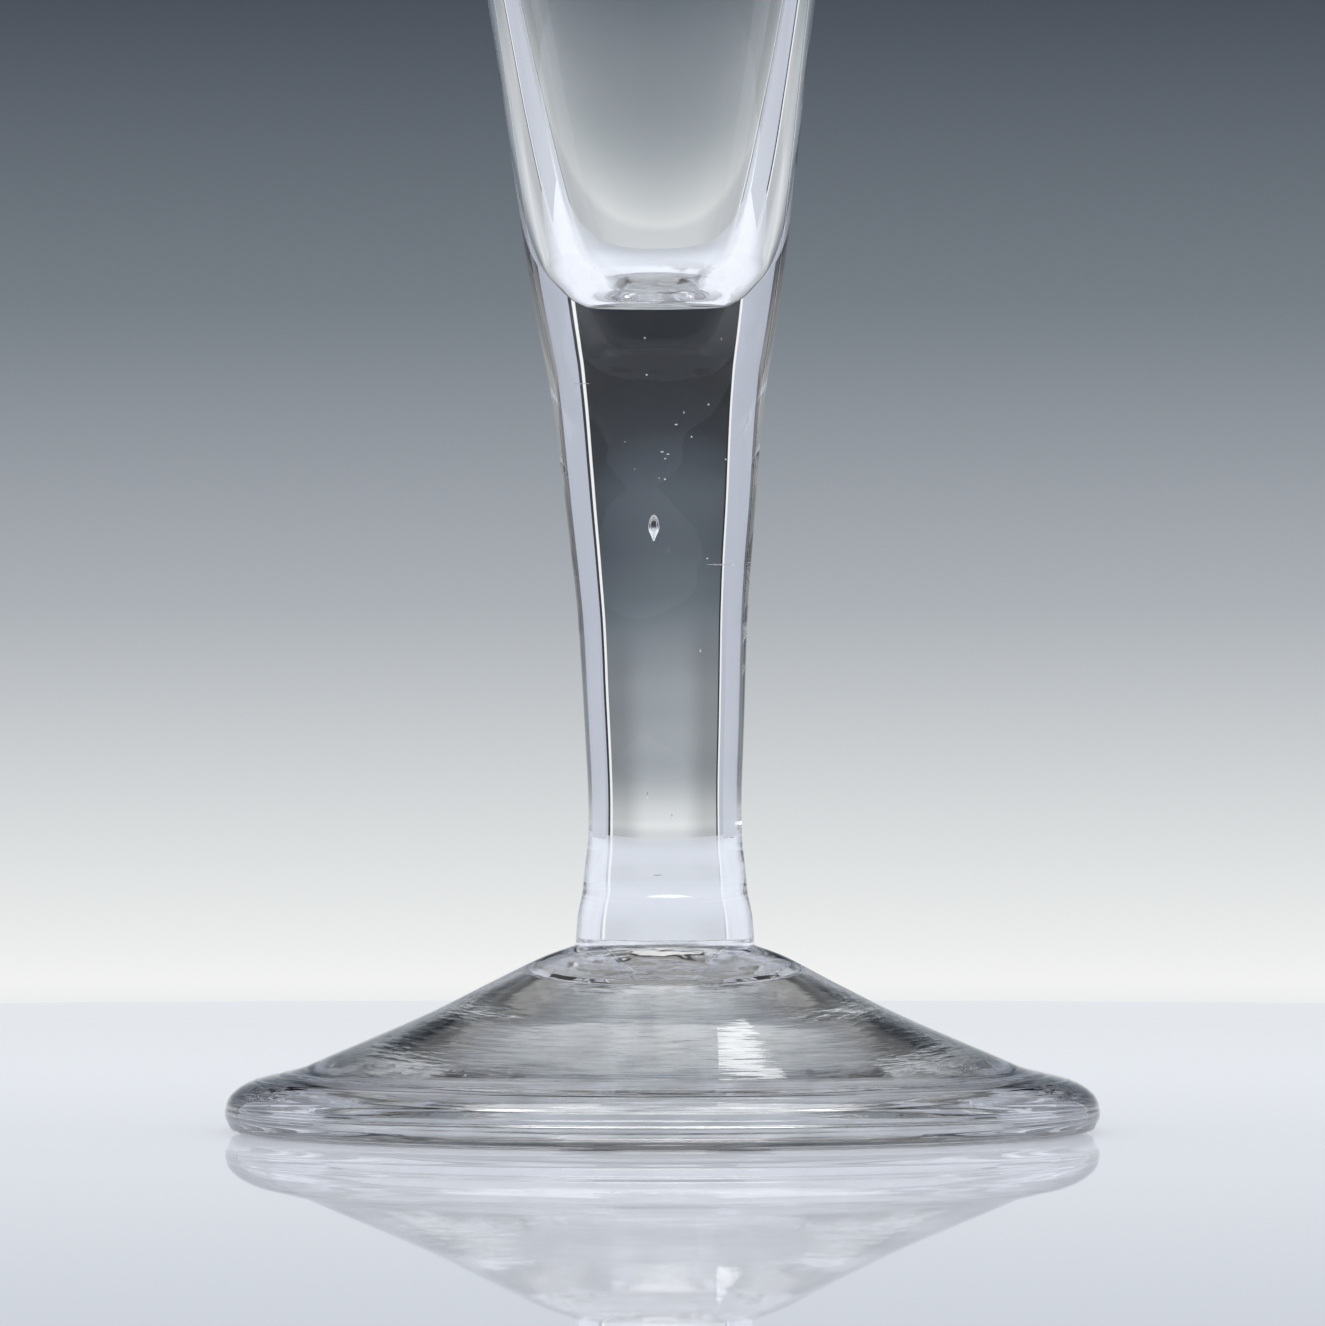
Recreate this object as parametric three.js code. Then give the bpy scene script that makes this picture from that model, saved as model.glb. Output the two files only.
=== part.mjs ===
import * as THREE from 'three';

// An ale glass with a drawn stem and a folded foot, in millimetres with +Z up.
// The origin is on the table, under the middle of the foot.

// Foot: a hollow cone whose rim is turned under, so that it stands on a narrow ring
const FOOT_RADIUS = 38;
const FOOT_HEIGHT = 16.2;
const FOOT_SHOULDER_RUN = 2;
const FOOT_SHOULDER_DROP = 0.95;
const FOOT_CENTRE_THICKNESS = 5.2;
const CONE_SAG = 0.35;
const CREASE_THICKNESS = 3.35;
const CREASE_OFFSET = 0.2;
const RIM_EDGE_THICKNESS = 1.85;
const RIM_EDGE_INSET = 1.8;
const UNDERSIDE_STEP_RISE = 0.8;
const UNDERSIDE_STEP_RUN = 1;

// Fold: the layer of the rim that is turned under
const FOLD_THICKNESS = 2.4;
const FOLD_WIDTH = 7.2;
const FOLD_INNER_LIFT = 0.9;
const FOLD_INNER_ROUNDING = 0.6;
const CONTACT_INSET = 1.6;
const CONTACT_WIDTH = 1.4;

// Pontil mark: the broken glass that the iron rod left under the foot
const MARK_RADIUS = 9.4;
const MARK_THICKNESS = 1.6;
const MARK_RING_RADIUS = 7;
const MARK_HOLLOW_RADIUS = 3.4;
const MARK_HOLLOW_THICKNESS = 1;
const MARK_MARGIN = 1;

// Stem: solid, drawn out of the bowl's own glass
const STEM_LENGTH = 53.8;
const STEM_BASE_RADIUS = 7.8;
const STEM_HEEL_RADIUS = 7.6;
const STEM_HEEL_RISE = 2.6;
const STEM_ANKLE_RADIUS = 7.08;
const STEM_ANKLE_RISE = 6.6;
const STEM_NECK_RADIUS = 6.75;
const STEM_NECK_RISE = 12.6;
const STEM_MIDDLE_RADIUS = 7;
const STEM_MIDDLE_RISE = 26;
const STEM_SWELL_RADIUS = 8.05;
const STEM_SWELL_RISE = 37.4;
const STEM_TOP_RADIUS = 10.35;
const SEAT_MARGIN = 0.35;

// Bowl: a tall flute, thick at the bottom and thin at the lip
const BOWL_LENGTH = 114;
const BOWL_HEEL_RADIUS = 11.3;
const BOWL_HEEL_RISE = 6;
const BOWL_LOW_RADIUS = 14.2;
const BOWL_LOW_RISE = 28;
const BOWL_MIDDLE_RADIUS = 20.5;
const BOWL_MIDDLE_RISE = 70;
const LIP_RADIUS = 28;
const LIP_WALL = 1.3;
const MIDDLE_WALL = 1.9;
const LOW_WALL = 3.2;
const CAVITY_FLOOR_THICKNESS = 1.7;
const CAVITY_FLOOR_RADIUS = 3;
const CAVITY_CORNER_RADIUS = 5.5;
const CAVITY_CORNER_RISE = 1.95;
const CAVITY_SIDE_RADIUS = 7.4;
const CAVITY_SIDE_RISE = 5.2;
const CAVITY_WAIST_RADIUS = 8.6;
const CAVITY_WAIST_RISE = 13;

// Hand-made stance: the stem stands a little off centre, then the glass leans
const STEM_OFFSET = 0.25;
const LEAN_DEGREES = 1;
const LEAN_START_RISE = 13.5;
const LEAN_SOFTNESS = 6;

// Fineness of the facets
const SPIN_STEPS = 48;
const CURVE_STEPS = 4;
const EDGE_STEPS = 6;

// Glass: clear with a faint grey tone
const GLASS_COLOUR = 0xe6ecec;
const GLASS_ROUGHNESS = 0.04;
const GLASS_OPACITY = 0.4;
const SCAR_COLOUR = 0xd3d6d6;
const SCAR_ROUGHNESS = 0.35;

// Heights that several pieces share
const STEM_TOP_HEIGHT = FOOT_HEIGHT + STEM_LENGTH;
const LIP_HEIGHT = STEM_TOP_HEIGHT + BOWL_LENGTH;
const CAVITY_FLOOR_HEIGHT = STEM_TOP_HEIGHT + CAVITY_FLOOR_THICKNESS;
const CEILING_HEIGHT = FOOT_HEIGHT - FOOT_CENTRE_THICKNESS;
const FOLD_INNER_RADIUS = FOOT_RADIUS - FOLD_WIDTH;

/** A point of an outline, at a radius from the axis and a height. */
function at(radius, height) {
  return new THREE.Vector2(radius, height);
}

/** Points on a smooth curve that passes through the given points. */
function smoothThrough(points) {
  const knots = points.map((point) => new THREE.Vector3(point.x, point.y, 0));
  const curve = new THREE.CatmullRomCurve3(knots, false, 'centripetal');
  const places = curve.getPoints(CURVE_STEPS * (knots.length - 1));
  return places.map((place) => at(place.x, place.y));
}

/** Points on a rounded edge from one point to another, bulging towards a corner. */
function rounded(from, corner, to) {
  return new THREE.QuadraticBezierCurve(from, corner, to).getPoints(EDGE_STEPS);
}

/** An outline made of stretches, without the points that two stretches share. */
function joined(...stretches) {
  const all = stretches.flat();
  return all.filter((point, i) => i === 0 || !point.equals(all[i - 1]));
}

/** The body that an outline sweeps in one turn about the upright axis. */
function spun(outline) {
  const geometry = new THREE.LatheGeometry(outline, SPIN_STEPS);
  geometry.rotateX(Math.PI / 2);
  return geometry;
}

/** How far the glass's own axis stands to the right of the foot's axis at a height. */
function axisOffset(height) {
  const above = height - FOOT_HEIGHT - LEAN_START_RISE;
  const ramp = (above + Math.hypot(above, LEAN_SOFTNESS)) / 2;
  return STEM_OFFSET - Math.tan(THREE.MathUtils.degToRad(LEAN_DEGREES)) * ramp;
}

/** Shifts each level of a body sideways, so that it leans with the glass. */
function leaned(geometry) {
  const places = geometry.getAttribute('position');
  for (let i = 0; i < places.count; i += 1) {
    places.setX(i, places.getX(i) + axisOffset(places.getZ(i)));
  }
  return geometry;
}

/** A mesh of clear glass, or of the duller broken glass under the foot. */
function glassMesh(name, geometry, color = GLASS_COLOUR, roughness = GLASS_ROUGHNESS) {
  const material = new THREE.MeshStandardMaterial({
    color,
    roughness,
    metalness: 0,
    transparent: true,
    opacity: GLASS_OPACITY,
  });
  const mesh = new THREE.Mesh(geometry, material);
  mesh.name = name;
  return mesh;
}

/** The outside of the stem and the bowl, drawn as one curve and cut at the stem's top. */
function drawnOutline() {
  const stemKnots = [
    at(STEM_BASE_RADIUS, FOOT_HEIGHT),
    at(STEM_HEEL_RADIUS, FOOT_HEIGHT + STEM_HEEL_RISE),
    at(STEM_ANKLE_RADIUS, FOOT_HEIGHT + STEM_ANKLE_RISE),
    at(STEM_NECK_RADIUS, FOOT_HEIGHT + STEM_NECK_RISE),
    at(STEM_MIDDLE_RADIUS, FOOT_HEIGHT + STEM_MIDDLE_RISE),
    at(STEM_SWELL_RADIUS, FOOT_HEIGHT + STEM_SWELL_RISE),
    at(STEM_TOP_RADIUS, STEM_TOP_HEIGHT),
  ];
  const bowlKnots = [
    at(BOWL_HEEL_RADIUS, STEM_TOP_HEIGHT + BOWL_HEEL_RISE),
    at(BOWL_LOW_RADIUS, STEM_TOP_HEIGHT + BOWL_LOW_RISE),
    at(BOWL_MIDDLE_RADIUS, STEM_TOP_HEIGHT + BOWL_MIDDLE_RISE),
    at(LIP_RADIUS, LIP_HEIGHT - LIP_WALL / 2),
  ];
  const points = smoothThrough([...stemKnots, ...bowlKnots]);
  const cut = CURVE_STEPS * (stemKnots.length - 1);
  return { stem: points.slice(0, cut + 1), bowl: points.slice(cut) };
}

/** The bowl's inside, from the lip down to the flat floor. */
function cavityOutline() {
  const lipInside = at(LIP_RADIUS - LIP_WALL, LIP_HEIGHT - LIP_WALL / 2);
  const side = smoothThrough([
    lipInside,
    at(BOWL_MIDDLE_RADIUS - MIDDLE_WALL, STEM_TOP_HEIGHT + BOWL_MIDDLE_RISE),
    at(BOWL_LOW_RADIUS - LOW_WALL, STEM_TOP_HEIGHT + BOWL_LOW_RISE),
    at(CAVITY_WAIST_RADIUS, CAVITY_FLOOR_HEIGHT + CAVITY_WAIST_RISE),
    at(CAVITY_SIDE_RADIUS, CAVITY_FLOOR_HEIGHT + CAVITY_SIDE_RISE),
    at(CAVITY_CORNER_RADIUS, CAVITY_FLOOR_HEIGHT + CAVITY_CORNER_RISE),
    at(CAVITY_FLOOR_RADIUS, CAVITY_FLOOR_HEIGHT),
  ]);
  return joined(side, [at(0, CAVITY_FLOOR_HEIGHT)]);
}

/** The fire-polished lip, half round between the outside and the inside. */
function lipOutline() {
  const middle = LIP_RADIUS - LIP_WALL / 2;
  const base = LIP_HEIGHT - LIP_WALL / 2;
  const points = [];
  for (let step = 0; step <= EDGE_STEPS; step += 1) {
    const turn = (Math.PI * step) / EDGE_STEPS;
    points.push(at(middle + Math.cos(turn) * LIP_WALL / 2, base + Math.sin(turn) * LIP_WALL / 2));
  }
  return points.slice(1, -1);
}

/** The bowl, open at the top, with a flat bottom where the stem begins. */
function makeBowl() {
  const outside = drawnOutline().bowl;
  const outline = joined([at(0, STEM_TOP_HEIGHT)], outside, lipOutline(), cavityOutline());
  return glassMesh('bowl', leaned(spun(outline)));
}

/** The solid stem, from its flat seat on the foot to the bottom of the bowl. */
function makeStem() {
  const outside = drawnOutline().stem;
  const outline = joined([at(0, FOOT_HEIGHT)], outside, [at(0, STEM_TOP_HEIGHT)]);
  return glassMesh('stem', leaned(spun(outline)));
}

/** The foot's upper layer: a hollow cone with a flat seat on top and a flat seam below. */
function makeFoot() {
  const ceiling = [at(0, CEILING_HEIGHT), at(MARK_RADIUS + MARK_MARGIN, CEILING_HEIGHT)];
  const underRim = at(FOLD_INNER_RADIUS - UNDERSIDE_STEP_RUN, FOLD_THICKNESS + UNDERSIDE_STEP_RISE);
  const seamStart = at(FOLD_INNER_RADIUS, FOLD_THICKNESS);
  const nose = at(FOOT_RADIUS, FOLD_THICKNESS);
  const rimEdge = at(FOOT_RADIUS - RIM_EDGE_INSET, FOLD_THICKNESS + RIM_EDGE_THICKNESS);
  const edge = rounded(nose, at(nose.x, rimEdge.y), rimEdge);
  const crease = at(FOLD_INNER_RADIUS + CREASE_OFFSET, FOLD_THICKNESS + CREASE_THICKNESS);
  const seat = at(STEM_BASE_RADIUS + STEM_OFFSET + SEAT_MARGIN, FOOT_HEIGHT);
  const shoulder = at(seat.x + FOOT_SHOULDER_RUN, FOOT_HEIGHT - FOOT_SHOULDER_DROP);
  const coneMiddle = at((crease.x + shoulder.x) / 2, (crease.y + shoulder.y) / 2 - CONE_SAG);
  const cone = smoothThrough([crease, coneMiddle, shoulder, seat]);
  const outline = joined(ceiling, [underRim, seamStart], edge, cone, [at(0, FOOT_HEIGHT)]);
  return glassMesh('foot', spun(outline));
}

/** The turned-under rim: a flat ring whose bottom is the narrow band that meets the table. */
function makeFootFold() {
  const nose = at(FOOT_RADIUS, FOLD_THICKNESS);
  const contactOuter = at(FOOT_RADIUS - CONTACT_INSET, 0);
  const contactInner = at(FOOT_RADIUS - CONTACT_INSET - CONTACT_WIDTH, 0);
  const innerLow = at(FOLD_INNER_RADIUS + FOLD_INNER_ROUNDING, FOLD_INNER_LIFT);
  const innerTop = at(FOLD_INNER_RADIUS, FOLD_THICKNESS);
  const innerEdge = rounded(innerTop, at(FOLD_INNER_RADIUS, FOLD_INNER_LIFT), innerLow);
  const outerEdge = rounded(contactOuter, at(FOOT_RADIUS, 0), nose);
  const outline = joined(innerEdge, [contactInner], outerEdge, [innerTop]);
  return glassMesh('foot_fold', spun(outline));
}

/** The broken mark under the foot: a low ring of glass with a hollow in its middle. */
function makePontilMark() {
  const lowest = CEILING_HEIGHT - MARK_THICKNESS;
  const underside = smoothThrough([
    at(0, CEILING_HEIGHT - MARK_HOLLOW_THICKNESS),
    at(MARK_HOLLOW_RADIUS, CEILING_HEIGHT - MARK_HOLLOW_THICKNESS),
    at(MARK_RING_RADIUS, lowest),
    at(MARK_RADIUS, CEILING_HEIGHT),
  ]);
  const outline = joined(underside, [at(0, CEILING_HEIGHT)]);
  return glassMesh('pontil_mark', spun(outline), SCAR_COLOUR, SCAR_ROUGHNESS);
}

const glass = new THREE.Group();
glass.add(makeFootFold(), makeFoot(), makePontilMark(), makeStem(), makeBowl());

export default glass;
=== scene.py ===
import logging
import math
from dataclasses import dataclass, field
from enum import Enum
from typing import Any, Callable, Iterable, Sequence

import bmesh
import bpy
from mathutils import Matrix, Vector, noise


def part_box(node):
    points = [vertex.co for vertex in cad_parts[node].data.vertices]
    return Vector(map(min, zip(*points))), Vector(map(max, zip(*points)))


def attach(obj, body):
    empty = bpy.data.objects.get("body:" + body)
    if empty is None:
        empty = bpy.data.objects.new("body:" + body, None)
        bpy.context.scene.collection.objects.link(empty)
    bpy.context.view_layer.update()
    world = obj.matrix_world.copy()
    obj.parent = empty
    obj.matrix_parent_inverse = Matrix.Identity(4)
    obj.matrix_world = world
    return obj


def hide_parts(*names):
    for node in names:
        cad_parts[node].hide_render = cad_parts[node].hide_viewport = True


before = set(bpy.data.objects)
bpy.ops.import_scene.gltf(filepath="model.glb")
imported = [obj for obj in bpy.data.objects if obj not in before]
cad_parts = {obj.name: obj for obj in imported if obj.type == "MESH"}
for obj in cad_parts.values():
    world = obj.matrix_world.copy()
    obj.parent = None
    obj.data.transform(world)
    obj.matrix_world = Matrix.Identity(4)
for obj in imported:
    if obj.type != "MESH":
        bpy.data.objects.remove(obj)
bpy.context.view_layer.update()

LOG = logging.getLogger("ale_glass")
MM = 0.001
BODY = "root"

Point = tuple[float, float]
Outline = list[Point]
Knots = tuple[Point, ...]
Colour = tuple[float, float, float, float]
Tones = tuple[tuple[float, tuple[int, int, int]], ...]
Settings = dict[str, Any] | None
Inputs = dict[Any, Any] | None

# Millimetres within which two points of an outline are one, two of a mesh are merged, and a
# face's middle lies on a seam.
SAME_POINT = 1e-6
MERGED = 1e-5
ON_SEAM = 1e-3
# The longest step across a flat weld in millimetres, and how upright such a face's normal is.
WELD_SPACING = 0.8
LEVEL = 0.999
SHARP_DEGREES = 40.0

DEGREES = 180 / math.pi
LEAD_GLASS_IOR = 1.55
CLEAR_TINT = (0.985, 0.99, 0.988, 1.0)
BLACK = (0.0, 0.0, 0.0, 1.0)
WHITE = (1.0, 1.0, 1.0, 1.0)
LIGHT_BOUNCES = 32
GLOSSY_BOUNCES = 16
CLEAR_BOUNCES = 64


class Surface(Enum):
    """The kinds of face on a piece, in the order of its material slots."""

    SKIN = 0
    WELD = 1
    FOUL = 2


def linear(red: int, green: int, blue: int) -> Colour:
    """The linear colour of an sRGB one given in 0 to 255.

    Args:
        red: Red, 0 to 255.
        green: Green, 0 to 255.
        blue: Blue, 0 to 255.

    Returns:
        The colour in linear light, with an alpha of 1.
    """
    def one(channel: int) -> float:
        """One channel in linear light."""
        share = channel / 255
        return share / 12.92 if share <= 0.04045 else ((share + 0.055) / 1.055) ** 2.4

    return (one(red), one(green), one(blue), 1.0)


def smooth_through(knots: Sequence[Point], spacing: float) -> Outline:
    """Points on a centripetal curve through knots, which are (radius, height) pairs.

    Args:
        knots: The points that the curve passes through.
        spacing: The longest step between points, in the knots' units.

    Returns:
        The points, with every knot among them.
    """
    points = [Vector(knot) for knot in knots]
    before = points[0] * 2 - points[1]
    after = points[-1] * 2 - points[-2]
    ring = [before, *points, after]
    found: Outline = [tuple(points[0])]
    for i in range(1, len(points)):
        p0, p1, p2, p3 = ring[i - 1: i + 3]
        d1, d2, d3 = ((b - a).length ** 0.5 for a, b in ((p0, p1), (p1, p2), (p2, p3)))
        t1 = (p1 - p0) / d1 - (p2 - p0) / (d1 + d2) + (p2 - p1) / d2
        t2 = (p2 - p1) / d2 - (p3 - p1) / (d2 + d3) + (p3 - p2) / d3
        t1, t2 = t1 * d2, t2 * d2
        steps = max(2, math.ceil((p2 - p1).length / spacing))
        for step in range(1, steps + 1):
            s = step / steps
            place = (
                p1 * (2 * s ** 3 - 3 * s ** 2 + 1)
                + t1 * (s ** 3 - 2 * s ** 2 + s)
                + p2 * (3 * s ** 2 - 2 * s ** 3)
                + t2 * (s ** 3 - s ** 2)
            )
            found.append(tuple(place))
    return found


def straight(start: Point, end: Point, spacing: float) -> Outline:
    """Evenly spaced points on a straight line.

    Args:
        start: Where it starts.
        end: Where it ends.
        spacing: The longest step between points.

    Returns:
        The points, with start and end among them.
    """
    steps = max(1, math.ceil(math.dist(start, end) / spacing))
    return [
        tuple(a + (b - a) * step / steps for a, b in zip(start, end)) for step in range(steps + 1)
    ]


def joined(*stretches: Outline) -> Outline:
    """One outline made of stretches.

    Args:
        stretches: The stretches, of which each ends where the next starts, or near it.

    Returns:
        Their points, with those that two stretches share only once.
    """
    found: Outline = []
    for point in (p for stretch in stretches for p in stretch):
        if not found or math.dist(found[-1], point) > SAME_POINT:
            found.append(point)
    return found


def split(points: Outline, height: float) -> tuple[Outline, Outline]:
    """Cuts a rising outline at a height.

    The cut lies within one straight step, so that the two pieces slope alike where they meet.

    Args:
        points: The outline, from low to high.
        height: Where it is cut.

    Returns:
        The lower and the upper stretch, which share the cut point.
    """
    kept = [point for point in points if abs(point[1] - height) > SAME_POINT]
    at = next(i for i, point in enumerate(kept) if point[1] > height)
    (low_radius, low), (high_radius, high) = kept[at - 1], kept[at]
    share = (height - low) / (high - low)
    cut = (low_radius + (high_radius - low_radius) * share, height)
    return [*kept[:at], cut], [cut, *kept[at:]]


def fade(value: float, low: float, high: float) -> float:
    """0 at or below low, 1 at or above high, and a smooth step between."""
    share = min(max((value - low) / (high - low), 0.0), 1.0)
    return share * share * (3 - 2 * share)


@dataclass(frozen=True)
class Levels:
    """Heights in millimetres at which the pieces meet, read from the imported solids."""

    seam: float
    ceiling: float
    foot_top: float
    stem_top: float
    lip: float

    @classmethod
    def from_frame(cls) -> "Levels":
        """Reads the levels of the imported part.

        Returns:
            The levels.
        """
        return cls(
            seam=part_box("foot_fold")[1].z / MM,
            ceiling=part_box("pontil_mark")[1].z / MM,
            foot_top=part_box("foot")[1].z / MM,
            stem_top=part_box("stem")[1].z / MM,
            lip=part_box("bowl")[1].z / MM,
        )


@dataclass(frozen=True)
class Waves:
    """Waves by which a hand-drawn wall strays from a true turned one.

    Attributes:
        size: Their size, as a share of the wall's wander.
        around: How often they repeat for each radian about the axis.
        upward: How often they repeat for each millimetre up.
        start: Where in the noise they are taken from.
    """

    size: float
    around: float
    upward: float
    start: float = 0.0

    def push(self, way: Vector, height: float) -> float:
        """How far they push the wall out, towards way and at a height."""
        x, y = way.x * self.around + self.start, way.y * self.around
        return self.size * noise.noise(Vector((x, y, height * self.upward)))


@dataclass(frozen=True)
class Stance:
    """How the hand-made glass stands: its stem a little off centre, then leaning.

    Attributes:
        levels: The heights at which the pieces meet.
        offset: How far right of the foot's axis the stem stands, in millimetres.
        lean_degrees: The bowl's lean to the left.
        lean_rise: How far above the foot the lean begins.
        softness: Length over which it comes on.
        weld_radius: Foot radius up to which the foot follows the stem.
        free_radius: Foot radius from which it doesn't.
        hold_drops: How far below the lean's start the foot doesn't follow, and follows.
        wander: How far the hand-drawn wall strays, in millimetres.
        waves: The waves in which it strays.
        still_radii: The radius up to which nothing strays, and the one from which all does.
    """

    levels: Levels
    offset: float = 0.25
    lean_degrees: float = 1.0
    lean_rise: float = 13.5
    softness: float = 6.0
    weld_radius: float = 8.6
    free_radius: float = 16.0
    hold_drops: tuple[float, float] = (20.0, 14.0)
    wander: float = 0.05
    waves: tuple[Waves, ...] = (Waves(1.5, 0.9, 0.035), Waves(0.25, 1.6, 0.16, 7.0))
    still_radii: tuple[float, float] = (1.0, 5.0)

    @property
    def lean_start(self) -> float:
        """Height above the table at which the lean begins."""
        return self.levels.foot_top + self.lean_rise

    def shift(self, height: float) -> float:
        """Where the glass's own axis is.

        Args:
            height: Height above the table, in millimetres.

        Returns:
            The axis's place at that height, to the right of the foot's axis.
        """
        above = height - self.lean_start
        ramp = (above + math.hypot(above, self.softness)) / 2
        return self.offset - math.tan(math.radians(self.lean_degrees)) * ramp

    def strayed(self, place: Vector, strength: float = 1.0) -> Vector:
        """Moves a point of a wall out or in, as a hand-drawn wall strays.

        Args:
            place: The point, in millimetres.
            strength: The share of the wander that it takes part in.

        Returns:
            The moved point.
        """
        radius = math.hypot(place.x, place.y)
        if radius < SAME_POINT:
            return place
        way = Vector((place.x / radius, place.y / radius, 0))
        push = sum(wave.push(way, place.z) for wave in self.waves)
        amount = self.wander * strength * push * fade(radius, *self.still_radii)
        return place + way * amount

    def drawn(self, place: Vector) -> Vector:
        """A point of the stem or bowl, strayed and leaned."""
        moved = self.strayed(place)
        return Vector((moved.x + self.shift(place.z), moved.y, moved.z))

    def footed(self, place: Vector) -> Vector:
        """Moves a point of the foot, which follows the stem only near the weld.

        Args:
            place: The point, in millimetres.

        Returns:
            The moved point.
        """
        radius = math.hypot(place.x, place.y)
        hold = 1 - fade(radius, self.weld_radius, self.free_radius)
        hold *= fade(place.z, *(self.lean_start - drop for drop in self.hold_drops))
        moved = self.strayed(place, hold)
        return Vector((moved.x + self.shift(place.z) * hold, moved.y, moved.z))


class Wire:
    """A number from a node, so that arithmetic on it adds Math nodes."""

    def __init__(self, kit: "NodeKit", socket: bpy.types.NodeSocket) -> None:
        """Keeps the socket and the tree that it is in."""
        self.kit = kit
        self.socket = socket

    def _math(self, operation: str, *values: Any) -> "Wire":
        """The result of one Math node."""
        inputs = dict(enumerate(values))
        return self.kit.number("ShaderNodeMath", {"operation": operation}, inputs)

    def __add__(self, other: Any) -> "Wire":
        """self + other."""
        return self._math("ADD", self, other)

    def __radd__(self, other: Any) -> "Wire":
        """other + self."""
        return self._math("ADD", other, self)

    def __sub__(self, other: Any) -> "Wire":
        """self - other."""
        return self._math("SUBTRACT", self, other)

    def __rsub__(self, other: Any) -> "Wire":
        """other - self."""
        return self._math("SUBTRACT", other, self)

    def __mul__(self, other: Any) -> "Wire":
        """self * other."""
        return self._math("MULTIPLY", self, other)

    def __rmul__(self, other: Any) -> "Wire":
        """other * self."""
        return self._math("MULTIPLY", other, self)

    def call(self, operation: str, *others: Any) -> "Wire":
        """A Math node's other operations, such as MAXIMUM or ABSOLUTE."""
        return self._math(operation, self, *others)

    def step(self, low: float, high: float) -> "Wire":
        """0 below low, 1 above high, and a smooth step between."""
        settings = {"interpolation_type": "SMOOTHSTEP", "clamp": True}
        return self.kit.number("ShaderNodeMapRange", settings, {0: self, 1: low, 2: high})


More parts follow.
